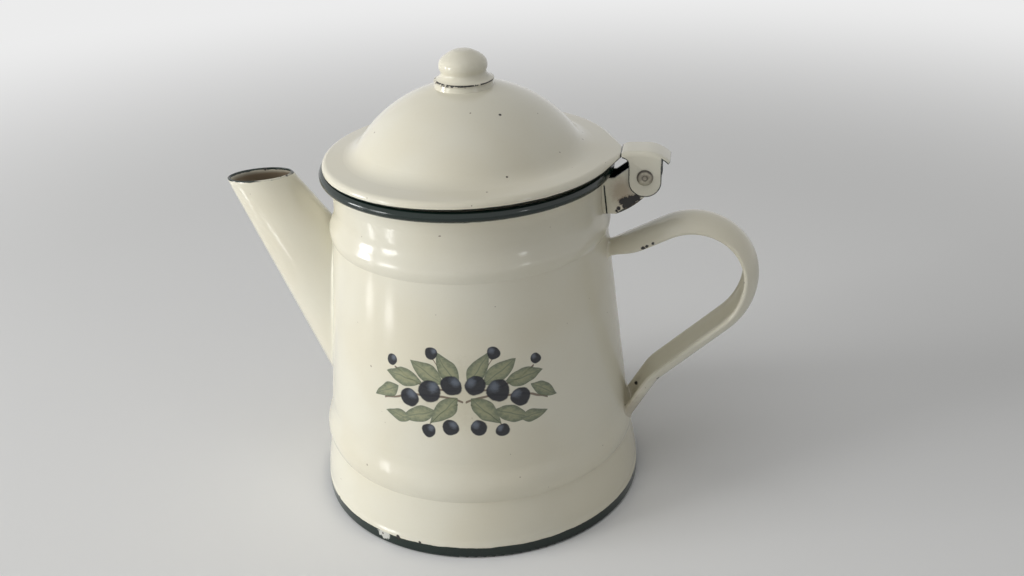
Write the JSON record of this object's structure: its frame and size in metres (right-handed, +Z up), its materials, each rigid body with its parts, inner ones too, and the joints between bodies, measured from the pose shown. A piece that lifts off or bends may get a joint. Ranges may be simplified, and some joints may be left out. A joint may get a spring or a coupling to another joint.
{
  "type": "enamel coffee pot",
  "caption": "Tapered sheet-steel coffee pot with a domed lid on a side hinge, a straight spout and a strap handle, standing on its flat ring; for holding and pouring hot drinks.",
  "frame": {"origin": "centre of the standing ring, in the plane it rests on", "axes": "+Z up; +X from the spout towards the hinge and handle; +Y along the hinge pin"},
  "size_m": [0.1865, 0.1168, 0.161],
  "materials": {
    "cream_enamel": "gloss vitreous enamel, cream, dark green at the edges",
    "dark_enamel": "gloss vitreous enamel, very dark green",
    "rivet_steel": "dull, dirty steel"
  },
  "bodies": {
    "pot": {"body_shell": "cream_enamel", "base_pan": "dark_enamel", "spout": "cream_enamel", "handle_strap": "cream_enamel", "hinge_bracket": "cream_enamel", "hinge_pin": "rivet_steel"},
    "lid": {"lid_shell": "cream_enamel", "lid_collar": "cream_enamel", "lid_knob": "cream_enamel", "hinge_leaf": "cream_enamel"}
  },
  "joints": [
    {"name": "lid_hinge", "type": "hinge", "parent": "pot", "child": "lid", "pos_m": [0.0606, 0, 0.1199], "axis": [0, 1, 0], "range_deg": [0, 130]}
  ]
}
